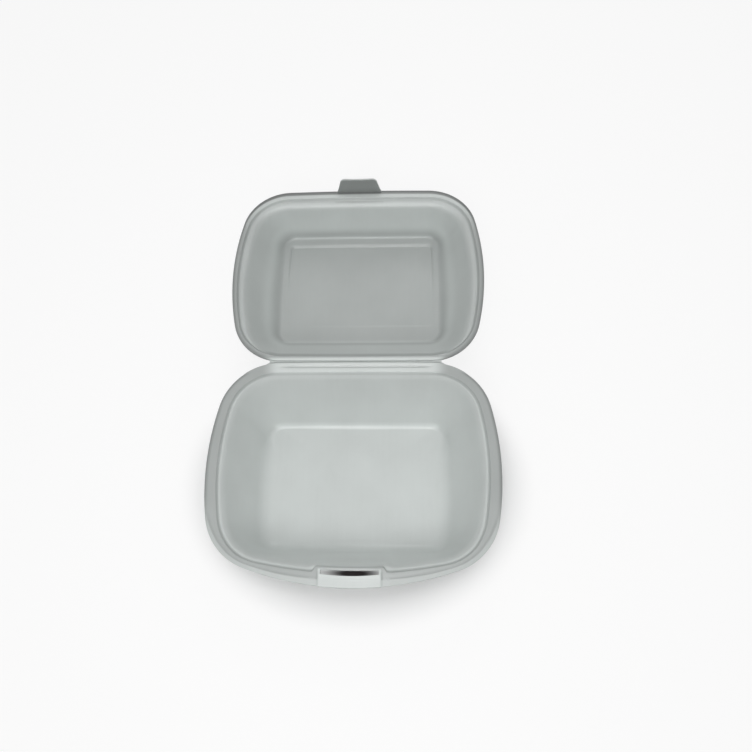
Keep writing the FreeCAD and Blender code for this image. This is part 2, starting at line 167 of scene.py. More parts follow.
def add_node(tree: bpy.types.NodeTree, kind: str, inputs: dict[str | int, object] | None = None,
             **options: object) -> bpy.types.Node:
    """Add a shader node, set its options, then link or set its inputs.

    Args:
        tree: Node tree that the node goes into.
        kind: Type of the node, without the leading "ShaderNode".
        inputs: Sockets to link from and values to set, by an input's name or number.
        options: Settings of the node itself.

    Returns:
        The node.
    """
    node = tree.nodes.new("ShaderNode" + kind)
    for name, value in options.items():
        setattr(node, name, value)
    for key, value in (inputs or {}).items():
        if isinstance(value, bpy.types.NodeSocket):
            tree.links.new(value, node.inputs[key])
        else:
            node.inputs[key].default_value = value
    return node


@dataclass(frozen=True)
class Outline:
    """Closed outline of eight tangent arcs, even about X = 0, in reach from the hinge's crease."""

    half_width: float
    back: float
    front: float
    side_bulge: float
    back_bulge: float
    front_bulge: float
    corner: float

    def inset(self, amount: float) -> "Outline":
        """Give the outline moved inwards by an amount, all round."""
        return Outline(self.half_width - amount, self.back + amount, self.front - amount, self.side_bulge - amount,
                       self.back_bulge - amount, self.front_bulge - amount, self.corner - amount)

    def corner_place(self, end_bulge: float) -> tuple[float, float, float, float]:
        """Find a corner arc, tangent inside the side's arc and the end's arc.

        Its centre is where the circles of radius side minus corner and end minus corner meet.

        Args:
            end_bulge: Radius of the end's arc.

        Returns:
            The centre's place from the outline's middle, and the turns where it meets the side and the end.
        """
        side_shift = self.half_width - self.side_bulge
        end_shift = (self.front - self.back) / 2 - end_bulge
        side_reach = self.side_bulge - self.corner
        end_reach = end_bulge - self.corner
        apart = math.hypot(side_shift, end_shift)
        along = (side_reach ** 2 - end_reach ** 2 + apart ** 2) / (2 * apart)
        across = math.sqrt(side_reach ** 2 - along ** 2)
        x = side_shift - (along * side_shift + across * end_shift) / apart
        y = (along * end_shift - across * side_shift) / apart
        return x, y, math.atan2(y, x - side_shift), math.atan2(y - end_shift, x)

    def ring(self, level: float, painted_light: float = 1.0) -> np.ndarray:
        """Sample the outline anticlockwise, from the front of its right side.

        Each arc is its centre plus its radius times the cosine and sine of an even run of angles. The
        front arc has points at set distances from its middle instead: y is the centre's less the root of
        radius squared less x squared.

        Args:
            level: Height of the ring.
            painted_light: Painted light and shade of the ring, as a share of the foam's brightness.

        Returns:
            Rows of x, y, height and painted light, with y = -reach.
        """
        middle = -(self.front + self.back) / 2
        half = (self.front - self.back) / 2
        shift = self.half_width - self.side_bulge
        back_x, back_y, back_side, back_end = self.corner_place(self.back_bulge)
        front_x, front_y, front_side, front_end = self.corner_place(self.front_bulge)
        turn = math.pi

        def arc(cx: float, cy: float, radius: float, start: float, end: float, count: int) -> np.ndarray:
            """Sample one arc, without its last point."""
            angle = start + (end - start) * np.arange(count) / count
            return np.column_stack((cx + radius * np.cos(angle), cy + radius * np.sin(angle)))

        limit = self.front_bulge * math.cos(front_end)
        near = np.concatenate((-FRONT_STATIONS[:0:-1], FRONT_STATIONS))
        far = FRONT_STATIONS[-1] + (limit - FRONT_STATIONS[-1]) * np.arange(1, FRONT_OUTER_POINTS) / FRONT_OUTER_POINTS
        x = np.concatenate(([-limit], -far[::-1], near, far))
        front_y_line = middle - half + self.front_bulge - np.sqrt(self.front_bulge ** 2 - x ** 2)
        plan = np.vstack((
            arc(shift, middle, self.side_bulge, -front_side, back_side, SIDE_POINTS),
            arc(back_x, middle + back_y, self.corner, back_side, back_end, CORNER_POINTS),
            arc(0.0, middle + half - self.back_bulge, self.back_bulge, back_end, turn - back_end, HINGE_POINTS),
            arc(-back_x, middle + back_y, self.corner, turn - back_end, turn - back_side, CORNER_POINTS),
            arc(-shift, middle, self.side_bulge, turn - back_side, turn + front_side, SIDE_POINTS),
            arc(-front_x, middle - front_y, self.corner, turn + front_side, turn + front_end, CORNER_POINTS),
            np.column_stack((x, front_y_line)),
            arc(front_x, middle - front_y, self.corner, 2 * turn - front_end, 2 * turn - front_side, CORNER_POINTS),
        ))
        return np.column_stack((plan, np.full(len(plan), level), np.full(len(plan), painted_light)))


@dataclass(frozen=True)
class Key:
    """A ring that the skin turns at."""

    ring: np.ndarray
    trim: float | np.ndarray = 0.0
    steps: int = 0


def follow(keys: list[Key], splits: dict[int, int]) -> tuple[np.ndarray, list[int]]:
    """Carry the skin along a chain of key rings, with rounded corners.

    Column by column, a corner P gives way to the curve (1-t)^2 A + 2t(1-t) P + t^2 C. A and C lie on the
    chain, one trim before and after P, but never past 0.46 of a run.

    Args:
        keys: The rings, from the first to the last.
        splits: Rows added evenly between a key and the next one, by the key's number.

    Returns:
        The rows as one array of rings, and the row number of each key's middle.
    """
    rows: list[np.ndarray] = []
    places: list[int] = []
    for index, key in enumerate(keys):
        point = key.ring
        if key.steps and 0 < index < len(keys) - 1:
            ends = []
            for other in (keys[index - 1].ring, keys[index + 1].ring):
                run = other - point
                length = np.linalg.norm(run[:, :3], axis=1)[:, None]
                trim = np.broadcast_to(key.trim, len(point))[:, None]
                ends.append(point + run * np.minimum(trim / np.maximum(length, 1e-6), 0.46))
            t = np.linspace(0.0, 1.0, key.steps)[:, None, None]
            curve = (1 - t) ** 2 * ends[0] + 2 * t * (1 - t) * point + t ** 2 * ends[1]
            start, end = ends[0], ends[1]
            fresh = list(curve)
        else:
            start = end = point
            fresh = [point]
        count = splits.get(index - 1, 0)
        if count:
            before = rows[-1]
            rows.extend(before + (start - before) * share for share in np.arange(1, count + 1) / (count + 1))
        places.append(len(rows) + len(fresh) // 2)
        rows.extend(fresh)
    return np.array(rows), places


def grid_faces(rows: int, columns: int) -> np.ndarray:
    """Number the faces between rings of points: row, next row, next row next column, row next column."""
    row, column = np.meshgrid(np.arange(rows - 1), np.arange(columns), indexing="ij")
    after = (column + 1) % columns
    return np.stack((row * columns + column, (row + 1) * columns + column, (row + 1) * columns + after,
                     row * columns + after), axis=-1)


def end_fans(rows: int, columns: int) -> list[np.ndarray]:
    """Number the faces that join the first and last rings to the two middle points listed after all rings."""
    column = np.arange(columns)
    after = (column + 1) % columns
    last = (rows - 1) * columns
    return [np.column_stack((np.full(columns, rows * columns), column, after)),
            np.column_stack((last + column, np.full(columns, rows * columns + 1), last + after))]


@dataclass
class Tray:
    """One moulded tray: a closed skin from the floor's middle, over the lip, to the middle of the foot."""

    name: str
    body: str
    heading: Heading
    rim: Outline
    step_line: Outline
    lip_width: float
    ledge_width: float
    runs: tuple[float, float, float]
    roof_border: float = 0.0
    panel_step: float = 1.5
    panel_slope: float = 1.5
    hinge_ledge_width: float = 2.6
    shoulder_run: float = 1.2
    seed: int = 5
    uneven: float = 0.22
    front_lip_spare: float = 0.0
    near_crease: float = 2.6
    side_crease: float = 7.5
    far_crease: float = 7.5
    roll_drop: float = 0.7
    roll_width: float = 3.2
    # Painted light and shade, as shares of the foam's brightness: shade on the lip, its rolled edge, the ledge and the
    # shoulder, and highlights along the floor's creases.
    lip_painted_shade: float = 0.70
    edge_painted_shade: float = 0.46
    ledge_painted_shade: float = 0.93
    shoulder_painted_shade: float = 0.86
    crease_painted_highlight: tuple[float, float] = (0.22, 0.0)
    crease_highlight_half: float = 1.5
    push: float = 0.32

    def __post_init__(self) -> None:
        """Work out the outlines that follow from the rim."""
        lip = self.step_line.inset(self.lip_width)
        self.lip_line = replace(lip, front=lip.front - self.front_lip_spare)
        self.shoulder_line = self.lip_line.inset(self.shoulder_run)
        wall = self.shoulder_line.inset(self.ledge_width)
        self.wall_line = replace(wall, back=self.shoulder_line.back + self.hinge_ledge_width)
        side, back, front = self.runs
        self.floor_line = Outline(self.wall_line.half_width - side, self.wall_line.back + back,
                                  self.wall_line.front - front, 700.0, 4000.0, 4000.0, 10.0)

    def shares(self, inner: np.ndarray, outer: np.ndarray, least: float) -> np.ndarray:
        """Give each lip row's share of the way from the lip's inner ring to its outer one, by column."""
        return np.repeat(LIP_SHARES[:, None], len(inner), axis=1)

    def relief(self, ring: np.ndarray, inner: np.ndarray, outer: np.ndarray) -> np.ndarray:
        """Roll a ring of the lip down towards the rim.

        The fall is the roll's drop times the square of how far into the roll's width the ring lies. Painted
        shade deepens with it, darkest at the rim's edge.

        Args:
            ring: Ring on the flat lip.
            inner: The lip's inner ring; not used here.
            outer: The rim's ring.

        Returns:
            The shaped ring.
        """
        shaped = ring.copy()
        left = np.linalg.norm((outer - ring)[:, :2], axis=1)
        rolled = np.clip(1.0 - left / self.roll_width, 0.0, 1.0)
        shaped[:, 2] -= self.roll_drop * rolled ** 2
        # Painted shade on the rolled edge.
        shaped[:, 3] += (self.edge_painted_shade - self.lip_painted_shade) * smooth(rolled, 0.15, 0.95)
        return shaped

    def spread(self, ring: np.ndarray, is_wall: bool = False) -> np.ndarray:
        """Move a ring of the rim or of the wall's top along the front; a plain tray keeps it."""
        return ring

    def step(self, ring: np.ndarray) -> np.ndarray:
        """Height of the roof's border over its panel; a plain floor has none."""
        return np.zeros(len(ring))

    def raised(self, ring: np.ndarray) -> np.ndarray:
        """Lift a ring by the border's height."""
        lifted = ring.copy()
        lifted[:, 2] += self.step(ring)
        return lifted

    def panel_line(self) -> Outline:
        """Outline of the panel's edge, inside the roof's border."""
        return self.floor_line.inset(self.roof_border)

    def crease_trim(self, ring: np.ndarray) -> np.ndarray:
        """Reach of the rounding between floor and wall: its own at the hinge, the sides and the front.

        Args:
            ring: Ring of the crease.

        Returns:
            One reach per column, with smooth steps between the three.
        """
        reach = -ring[:, 1]
        floor = self.floor_line
        side = smooth(reach, floor.back + 2.0, floor.back + 24.0)
        far = smooth(reach, floor.front - 26.0, floor.front - 2.0)
        trim = self.near_crease + (self.side_crease - self.near_crease) * side
        return trim + (self.far_crease - self.side_crease) * far

    def inside_keys(self) -> list[Key]:
        """Give the key rings from the floor up to the foot of the step."""
        floor, wall = self.floor_line, self.wall_line
        foot = self.raised(floor.inset(0.15).ring(FOAM))
        keys = []
        if self.roof_border:
            panel = self.panel_line()
            keys += [Key(panel.inset(self.panel_slope + 0.4).ring(FOAM)),
                     Key(panel.inset(self.panel_slope).ring(FOAM), 1.2, 5),
                     Key(self.raised(panel.ring(FOAM)), 1.2, 5)]
        else:
            keys.append(Key(foot.mean(axis=0) + (foot - foot.mean(axis=0)) * 0.6))
        return keys + [
            Key(foot, self.crease_trim(foot), 12),
            Key(self.spread(wall.ring(LEDGE_LEVEL - LEDGE_BEVEL), True), 2.4, 7),
            # Painted shade on the ledge and the shoulder.
            Key(self.spread(wall.inset(-LEDGE_BEVEL).ring(LEDGE_LEVEL - 0.15, self.ledge_painted_shade), True), 1.5, 6),
            Key(self.spread(self.shoulder_line.ring(LEDGE_LEVEL, self.shoulder_painted_shade)), 0.8, 5),
        ]

    def outside_keys(self) -> list[Key]:
        """Give the key rings from the collar under the lip down to the foot."""
        floor, wall = self.floor_line.inset(-WALL_SHIFT), self.wall_line.inset(-WALL_SHIFT)
        foot = self.raised(floor.inset(0.35).ring(0.0))
        keys = [
            # Painted shade under the lip and down the outside of the wall's top.
            Key(self.spread(self.lip_line.ring(LEDGE_LEVEL - FOAM, 0.8)), 0.3, 3),
            Key(self.spread(wall.inset(-LEDGE_BEVEL).ring(LEDGE_LEVEL - FOAM, 0.95), True), 0.8, 4),
            Key(self.spread(wall.ring(LEDGE_LEVEL - FOAM - LEDGE_BEVEL, 0.97), True), 1.4, 5),
            Key(foot, 2.6, 8),
        ]
        if self.roof_border:
            panel = self.panel_line().inset(-WALL_SHIFT)
            keys += [Key(self.raised(panel.ring(0.0)), 0.9, 4),
                     Key(panel.inset(self.panel_slope).ring(0.0), 0.9, 4),
                     Key(panel.inset(self.panel_slope + 3.0).ring(0.0))]
        else:
            keys.append(Key(foot.mean(axis=0) + (foot - foot.mean(axis=0)) * 0.7))
        return keys

    def lip_keys(self) -> tuple[list[Key], int, int]:
        """Give the key rings over the lip and back under it.

        Returns:
            The keys, and the numbers of the first lip row above and of the last one below.
        """
        # Painted shade on the lip, deeper at the rim's edge and under the lip.
        inner = self.spread(self.lip_line.ring(RIM_LEVEL, self.lip_painted_shade))
        outer = self.rim.ring(RIM_LEVEL, self.lip_painted_shade)
        under_outer = self.rim.ring(LIP_UNDER, self.edge_painted_shade)
        collar = self.step_line.inset(self.lip_width - self.shoulder_run)
        under_inner = self.spread(replace(collar, front=collar.front - self.front_lip_spare).ring(LIP_UNDER, 0.9))
        top_shares = self.shares(inner, outer, 0.0)
        under_shares = self.shares(under_inner, under_outer, 0.015)
        top = [inner + (outer - inner) * share[:, None] for share in top_shares]
        under = [under_inner + (under_outer - under_inner) * share[:, None] for share in under_shares]
        edge = self.relief(outer, inner, outer)
        edge_under = under_outer.copy()
        edge_under[:, :2] = edge[:, :2]
        keys = [Key(self.relief(inner, inner, outer), 0.75, 6)]
        keys += [Key(self.relief(ring, inner, outer)) for ring in top]
        keys += [Key(edge, 0.85, 6), Key(edge_under, 0.6, 4)]
        keys += [Key(ring) for ring in under[::-1]]
        keys.append(Key(under_inner, 0.3, 3))
        return keys, 1, 2 + 2 * len(LIP_SHARES)

    def unevenness(self, points: np.ndarray) -> np.ndarray:
        """Sag and swell the floor and walls a little: the levels move with a smooth swell below the ledge.

        Args:
            points: Rows of x, y, height and painted light in the tray's own frame.

        Returns:
            The moved points.
        """
        moved = points.copy()
        x, y, z = points[:, 0], points[:, 1], points[:, 2]
        free = smooth(z, 33.0, 22.0)
        inside = smooth(z, 0.9, 1.9)
        moved[:, 2] += self.uneven * inside * free * swell(x, y, self.seed, 26.0, 90.0)
        push = self.push * free * smooth(z, 4.0, 12.0) * swell(x + z, y - z, self.seed + 3, 30.0, 80.0)
        middle = -(self.rim.front + self.rim.back) / 2
        away = np.hypot(x, y - middle) + 1e-6
        moved[:, 0] += push * x / away
        moved[:, 1] += push * (y - middle) / away
        return moved

    def paint_light_and_shade(self, points: np.ndarray) -> np.ndarray:
        """Paint highlights on the creases at the hinge and at the front: each painted highlight is a bell curve of the
        reach.

        Args:
            points: Rows of x, y, height and painted light in the tray's own frame.

        Returns:
            The painted light and shade, one per point.
        """
        x, y, z = points[:, 0], points[:, 1], points[:, 2]
        floor = self.floor_line
        low = smooth(z, 7.0, 4.5) * smooth(z, *INSIDE_SKIN)
        low = low * smooth(np.abs(x), floor.half_width + 1.0, floor.half_width - 7.0)
        painted_light = points[:, 3].copy()
        # Painted highlights along the floor's creases at the hinge and at the front.
        for highlight, place in zip(self.crease_painted_highlight, (floor.back, floor.front)):
            painted_light += highlight * low * np.exp(-((-y - place) / self.crease_highlight_half) ** 2)
        return painted_light

    def cut_faces(self, quads: np.ndarray, top: int, under: int) -> list[np.ndarray]:
        """Give the skin's faces; a plain tray has no opening."""
        return [quads.reshape(-1, 4)]

    def place(self, points: np.ndarray) -> np.ndarray:
        """Lay the tray in the part's frame: the lid is the base's layout turned half way about Z."""
        turn = self.heading.value
        return np.column_stack((points[:, 0] * turn, points[:, 1] * turn + CREASE_Y, points[:, 2]))

    def build(self, material: bpy.types.Material) -> bpy.types.Object:
        """Build the tray's skin and dress it.

        The rings are carried along the key rings. The floor and the foot close with rings that shrink
        evenly to a middle point.

        Args:
            material: Finish of the foam.

        Returns:
            The tray.
        """
        inside = self.inside_keys()
        lip, first_lip, last_lip = self.lip_keys()
        outside = self.outside_keys()
        keys = inside + lip + outside
        # The keys before the two long walls, which get rows of their own.
        wall_key = len(inside) - 4
        outside_wall_key = len(inside) + len(lip) + 2
        rings, places = follow(keys, {wall_key: 12, outside_wall_key: 6})
        closing = TRAY_CLOSING[:, None, None]
        fronts = rings[0].mean(axis=0)
        backs = rings[-1].mean(axis=0)
        rings = np.concatenate((fronts + (rings[0] - fronts) * closing, rings,
                                backs + (rings[-1] - backs) * closing[::-1]))
        count, columns = rings.shape[:2]
        points = np.vstack((rings.reshape(-1, 4), fronts, backs))
        # Painted light and shade of each point, as a share of the foam's brightness.
        painted_light = self.paint_light_and_shade(points)
        points = self.unevenness(points)
        quads = grid_faces(count, columns)
        top = len(closing) + places[len(inside) + first_lip]
        under = len(closing) + places[len(inside) + last_lip]
        faces = self.cut_faces(quads, top, under) + end_fans(count, columns)
        piece = add_mesh(self.name, self.place(points), faces, painted_light, material)
        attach(piece, self.body)
        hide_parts(self.body)
        log.info("%s: %d rings of %d points", self.name, count, columns)
        return piece


@dataclass
class BaseTray(Tray):
    """The base, with its sloping front band, the groove along its hinge, and the slot with its raised lip."""

    apron_drop: float = 1.1
    groove_place: float = 3.7
    groove_half_width: float = 0.85
    groove_depth: float = 0.9
    groove_half_length: float = 53.0
    slot_back: float = 135.1
    slot_ends_front: float = 137.9
    slot_bow: float = 1.0
    slot_half_length: float = 17.3
    pad_half_width: float = 18.7
    welt_rise: float = 0.22
    tongue_rise: float = 0.6
    tongue_reach: float = 0.3
    # Painted light and shade: light on the tongue and the apron, shade on the front lip, in the fold and in the
    # groove, and a highlight on the hinge's ridges.
    tongue_painted_light: float = 1.10
    fold_depth: float = 0.3
    front_lip_painted_shade: float = 0.72
    apron_painted_light: float = 0.94
    ridge_painted_highlight: float = 1.16
    groove_painted_shade: float = 0.36
    fold_painted_shade: float = 0.08
    lip_spread: float = 3.4
    wall_spread: float = 1.4
    hinge_fade: tuple[float, float] = (9.5, 7.0)
    hinge_ends: tuple[float, float] = (62.0, 50.0)
    front_fade: tuple[float, float] = (88.0, 126.0)
    pad_fade: tuple[float, float] = (19.6, 22.5)
    wall_pad_fade: tuple[float, float] = (19.6, 27.0)

    def spread(self, ring: np.ndarray, is_wall: bool = False) -> np.ndarray:
        """Move a ring towards the front edge, so that the lip is narrow there but for the pad round the slot.

        The move is its full size past the pad and less over it, and runs out smoothly round the corners.

        Args:
            ring: The ring.
            is_wall: Whether it belongs to the wall's top rather than the lip.

        Returns:
            The moved ring.
        """
        moved = ring.copy()
        front = smooth(-ring[:, 1], *self.front_fade)
        over_pad, fade = (self.wall_spread, self.wall_pad_fade) if is_wall else (0.0, self.pad_fade)
        past = smooth(np.abs(ring[:, 0]), *fade)
        moved[:, 1] -= front * (over_pad + (self.lip_spread - over_pad) * past)
        return moved

    def shares(self, inner: np.ndarray, outer: np.ndarray, least: float) -> np.ndarray:
        """Draw two lip rows onto the slot's long edges, over the slot's length.

        The shares are a piecewise straight map of the plain ones, which takes the slot's rows to the
        slot's edges and fades out to the plain shares past the slot's ends.

        Args:
            inner: Ring that the rows start from.
            outer: Ring that the rows end at.
            least: Least share of the slot's back edge.

        Returns:
            One row of shares for each lip row.
        """
        x = inner[:, 0]
        reach_in, reach_out = -inner[:, 1], -outer[:, 1]
        near = smooth(np.abs(x), 25.0, self.slot_half_length + 1.0) * (reach_in > FRONT_REACH)
        bow = self.slot_bow * np.clip(1.0 - (x / self.slot_half_length) ** 2, 0.0, 1.0)
        run = np.maximum(reach_out - reach_in, 1.0)
        plain_back, plain_front = LIP_SHARES[SLOT_BACK_ROW], LIP_SHARES[SLOT_FRONT_ROW]
        back = np.maximum((self.slot_back - reach_in) / run, least)
        back = plain_back + (back - plain_back) * near
        front = plain_front + ((self.slot_ends_front + bow - reach_in) / run - plain_front) * near
        share = LIP_SHARES[:, None]
        before = share / plain_back * back
        between = back + (share - plain_back) / (plain_front - plain_back) * (front - back)
        beyond = front + (share - plain_front) / (1.0 - plain_front) * (1.0 - front)
        return np.where(share <= plain_back, before, np.where(share <= plain_front, between, beyond))

    def relief(self, ring: np.ndarray, inner: np.ndarray, outer: np.ndarray) -> np.ndarray:
        """Shape a ring of the lip.

        Past the lip's width the band falls evenly by its drop. The groove is a bell curve of the reach,
        faded out at its ends. The pad round the slot is a step across its sides, low behind the slot
        and higher before it.

        Args:
            ring: Ring on the flat lip.
            inner: The lip's inner ring.
            outer: The rim's ring.

        Returns:
            The shaped ring.
        """
        x, reach = ring[:, 0], -ring[:, 1]
        run = np.linalg.norm((ring - inner)[:, :2], axis=1)
        full = np.linalg.norm((outer - inner)[:, :2], axis=1)
        front = smooth(-inner[:, 1], *self.front_fade) * smooth(np.abs(x), *self.pad_fade)
        width = self.lip_width - self.lip_spread * front
        band = np.maximum(full - width, 0.0)
        rolled = super().relief(ring, inner, outer)
        plain = np.maximum(smooth(band, 0.0, 1.2), smooth(reach, *self.hinge_fade))[:, None]
        shaped = rolled + (ring - rolled) * plain
        past = np.clip((run - width) / (band + 0.12), 0.0, 1.0)
        shaped[:, 2] -= self.apron_drop * past * smooth(band, 0.0, 1.2)
        fold = np.exp(-((run - width + 0.5) / 0.6) ** 2) * smooth(band, 0.3, 2.0)
        shaped[:, 2] -= self.fold_depth * fold
        # Painted shade on the front lip and in the fold.
        shaped[:, 3] += (self.front_lip_painted_shade - self.lip_painted_shade) * smooth(band, 0.0, 1.5) - self.fold_painted_shade * fold
        ends = smooth(np.abs(x), self.groove_half_length, self.groove_half_length - 9.0)
        groove = np.exp(-((reach - self.groove_place) / self.groove_half_width) ** 2) * ends
        shaped[:, 2] -= self.groove_depth * groove
        pad = smooth(np.abs(x), self.pad_half_width + 0.5, self.pad_half_width - 0.4) * (reach > FRONT_REACH)
        tongue = smooth(reach, self.slot_back + 0.8, self.slot_ends_front - 0.2)
        pad = pad * smooth(reach, self.slot_back - 1.0, self.slot_back - 0.4)
        shaped[:, 2] += pad * (self.welt_rise + (self.tongue_rise - self.welt_rise) * tongue)
        shaped[:, 1] -= pad * self.tongue_reach * smooth(run, full.min(), full.max()) * (ring is outer)
        # Painted light on the apron and on the tongue.
        shaped[:, 3] += (self.apron_painted_light - shaped[:, 3]) * smooth(past, 0.0, 0.25) * smooth(band, 0.5, 2.5)
        shaped[:, 3] += (self.tongue_painted_light - shaped[:, 3]) * pad
        # Painted highlight on the hinge's ridges, with painted shade in the groove.
        hinge = smooth(reach, *self.hinge_fade) * smooth(np.abs(x), *self.hinge_ends)
        shaped[:, 3] += (self.ridge_painted_highlight - self.groove_painted_shade * groove - shaped[:, 3]) * hinge
        return shaped

    def cut_faces(self, quads: np.ndarray, top: int, under: int) -> list[np.ndarray]:
        """Open the slot: drop its faces above and below, and join their borders with walls.

        Args:
            quads: Faces by row and column.
            top: Row of the first lip ring above.
            under: Row of the same lip ring below.

        Returns:
            Arrays of faces.
        """
        columns = quads.shape[1]
        middle = 2 * SIDE_POINTS + 3 * CORNER_POINTS + HINGE_POINTS + FRONT_OUTER_POINTS + len(FRONT_STATIONS) - 1
        reach = int(np.argmin(np.abs(FRONT_STATIONS - self.slot_half_length)))
        left, right = middle - reach, middle + reach
        top_back, top_front = top + SLOT_BACK_ROW, top + SLOT_FRONT_ROW
        under_back, under_front = under - SLOT_BACK_ROW, under - SLOT_FRONT_ROW
        keep = np.ones(quads.shape[:2], dtype=bool)
        keep[top_back:top_front, left:right] = False
        keep[under_front:under_back, left:right] = False
        c = np.arange(left, right)
        long_back = np.column_stack((top_back * columns + c, under_back * columns + c,
                                     under_back * columns + c + 1, top_back * columns + c + 1))
        long_front = np.column_stack((top_front * columns + c, top_front * columns + c + 1,
                                      under_front * columns + c + 1, under_front * columns + c))
        r = np.arange(SLOT_BACK_ROW, SLOT_FRONT_ROW)
        above, below = (top + r) * columns, (under - r) * columns
        end_left = np.column_stack((above + left, above + columns + left, below - columns + left, below + left))
        end_right = np.column_stack((above + right, below + right, below - columns + right, above + columns + right))
        return [quads[keep], long_back, long_front, end_left, end_right]


@dataclass
class LidTray(Tray):
    """The lid, with the recess of its raised roof panel and a small crease in its far right corner."""

    crease_place: tuple[float, float] = (-51.0, -112.0)
    crease_size: float = 7.0
    crease_height: float = 0.22
    least_step: float = 0.2
    panel_side_spare: float = -1.5
    panel_near_spare: float = 6.0
    # Painted light and shade: shade on the roof, the side walls, the hinge's shoulder and the front edge; light on the
    # far wall; highlights on the ledge, the hinge's crown and the front ridge.
    roof_painted_shade: float = 0.72
    side_painted_shade: float = 0.92
    far_painted_light: float = 1.12
    ledge_painted_highlight: float = 0.16
    hinge_painted_shade: float = 0.2
    step_fade: tuple[float, float] = (62.0, 108.0)
    hinge_fade: tuple[float, float] = (5.5, 4.2)
    hinge_ends: tuple[float, float] = (64.0, 54.0)
    front_fade: tuple[float, float] = (96.0, 126.0)
    front_ridge_fade: tuple[float, float] = (3.4, 2.2)
    crown_painted_highlight: float = 1.18
    crown_painted_shade: float = 0.5
    crown_drop: float = 0.5
    front_edge_painted_shade: float = 0.34
    front_ridge_painted_highlight: float = 1.04

    def step(self, ring: np.ndarray) -> np.ndarray:
        """Give the border's height: the panel's step at the front, running out smoothly towards the hinge."""
        full = smooth(-ring[:, 1], *self.step_fade)
        return self.least_step + (self.panel_step - self.least_step) * full

    def panel_line(self) -> Outline:
        """Outline of the panel's edge, further in at the sides and the hinge than at the front."""
        panel = super().panel_line()
        return replace(panel, half_width=panel.half_width - self.panel_side_spare,
                       back=panel.back + self.panel_near_spare)

    def relief(self, ring: np.ndarray, inner: np.ndarray, outer: np.ndarray) -> np.ndarray:
        """Roll the lip, and crown it along the hinge, where it is a round ridge with a painted highlight.

        There the fall is the crown's drop times the square of the way from the crown to the inner edge.
        At the front the painted light goes from painted shade on the edge to a painted highlight on the ridge beside
        the step.

        Args:
            ring: Ring on the flat lip.
            inner: The lip's inner ring.
            outer: The rim's ring.

        Returns:
            The shaped ring.
        """
        shaped = super().relief(ring, inner, outer)
        reach = -ring[:, 1]
        hinge = smooth(reach, *self.hinge_fade) * smooth(np.abs(ring[:, 0]), *self.hinge_ends)
        inward = np.clip((reach - 1.9) / 2.1, 0.0, 1.0)
        shaped[:, 2] += hinge * (ring[:, 2] - shaped[:, 2]) * (reach > 0.8) - self.crown_drop * hinge * inward ** 2
        # Painted highlight on the hinge's crown, fading to painted shade inward.
        shaped[:, 3] += (self.crown_painted_highlight - self.crown_painted_shade * inward - shaped[:, 3]) * hinge
        # Painted shade on the front edge, a painted highlight on the ridge beside it.
        front = smooth(reach, *self.front_fade)
        run = np.linalg.norm((ring - inner)[:, :2], axis=1)
        ridge = smooth(run, *self.front_ridge_fade)
        painted_light = self.front_edge_painted_shade + (self.front_ridge_painted_highlight - self.front_edge_painted_shade) * ridge
        shaped[:, 3] += (painted_light - shaped[:, 3]) * front
        return shaped

    def unevenness(self, points: np.ndarray) -> np.ndarray:
        """Add a small pressed crease: a short wave under a bell curve about its place.

        Args:
            points: Rows of x, y, height and painted light in the lid's own frame.

        Returns:
            The moved points.
        """
        moved = super().unevenness(points)
        x, y = points[:, 0] - self.crease_place[0], points[:, 1] - self.crease_place[1]
        bell = np.exp(-(x * x + y * y) / self.crease_size ** 2) * smooth(points[:, 2], *INSIDE_SKIN)
        moved[:, 2] += self.crease_height * bell * np.sin((x * 0.8 - y * 0.5) * 0.9)
        return moved

    def paint_light_and_shade(self, points: np.ndarray) -> np.ndarray:
        """Paint shade on the roof, the side walls and the hinge's shoulder, light on the far wall and a highlight on
        its ledge.

        Each share is a product of smooth steps of the place. The ledge's is a bell curve of the height.

        Args:
            points: Rows of x, y, height and painted light in the lid's own frame.

        Returns:
            The painted light and shade, one per point.
        """
        painted_light = super().paint_light_and_shade(points)
        across, reach, z = np.abs(points[:, 0]), -points[:, 1], points[:, 2]
        # Painted shade on the roof and the side walls, painted light on the far wall.
        painted_light *= 1.0 + (self.roof_painted_shade - 1.0) * smooth(z, 14.0, 3.0)
        side = smooth(across, 50.0, 66.0) * smooth(z, 14.0, 22.0) * smooth(reach, 126.0, 112.0)
        painted_light *= 1.0 + (self.side_painted_shade - 1.0) * side
        far = smooth(reach, 96.0, 116.0) * smooth(z, 8.0, 16.0) * smooth(z, 35.0, 33.0)
        painted_light *= 1.0 + (self.far_painted_light - 1.0) * far
        # Painted highlight on the far ledge.
        ledge = np.exp(-((z - 34.9) / 0.9) ** 2) * smooth(reach, 108.0, 122.0) * (reach < 128.5)
        painted_light += self.ledge_painted_highlight * ledge
        # Painted shade on the hinge's shoulder.
        hinge = smooth(reach, 12.0, 9.0) * smooth(z, 32.0, 34.5) * smooth(z, 36.2, 35.6)
        return painted_light - self.hinge_painted_shade * hinge * smooth(across, *self.hinge_ends)


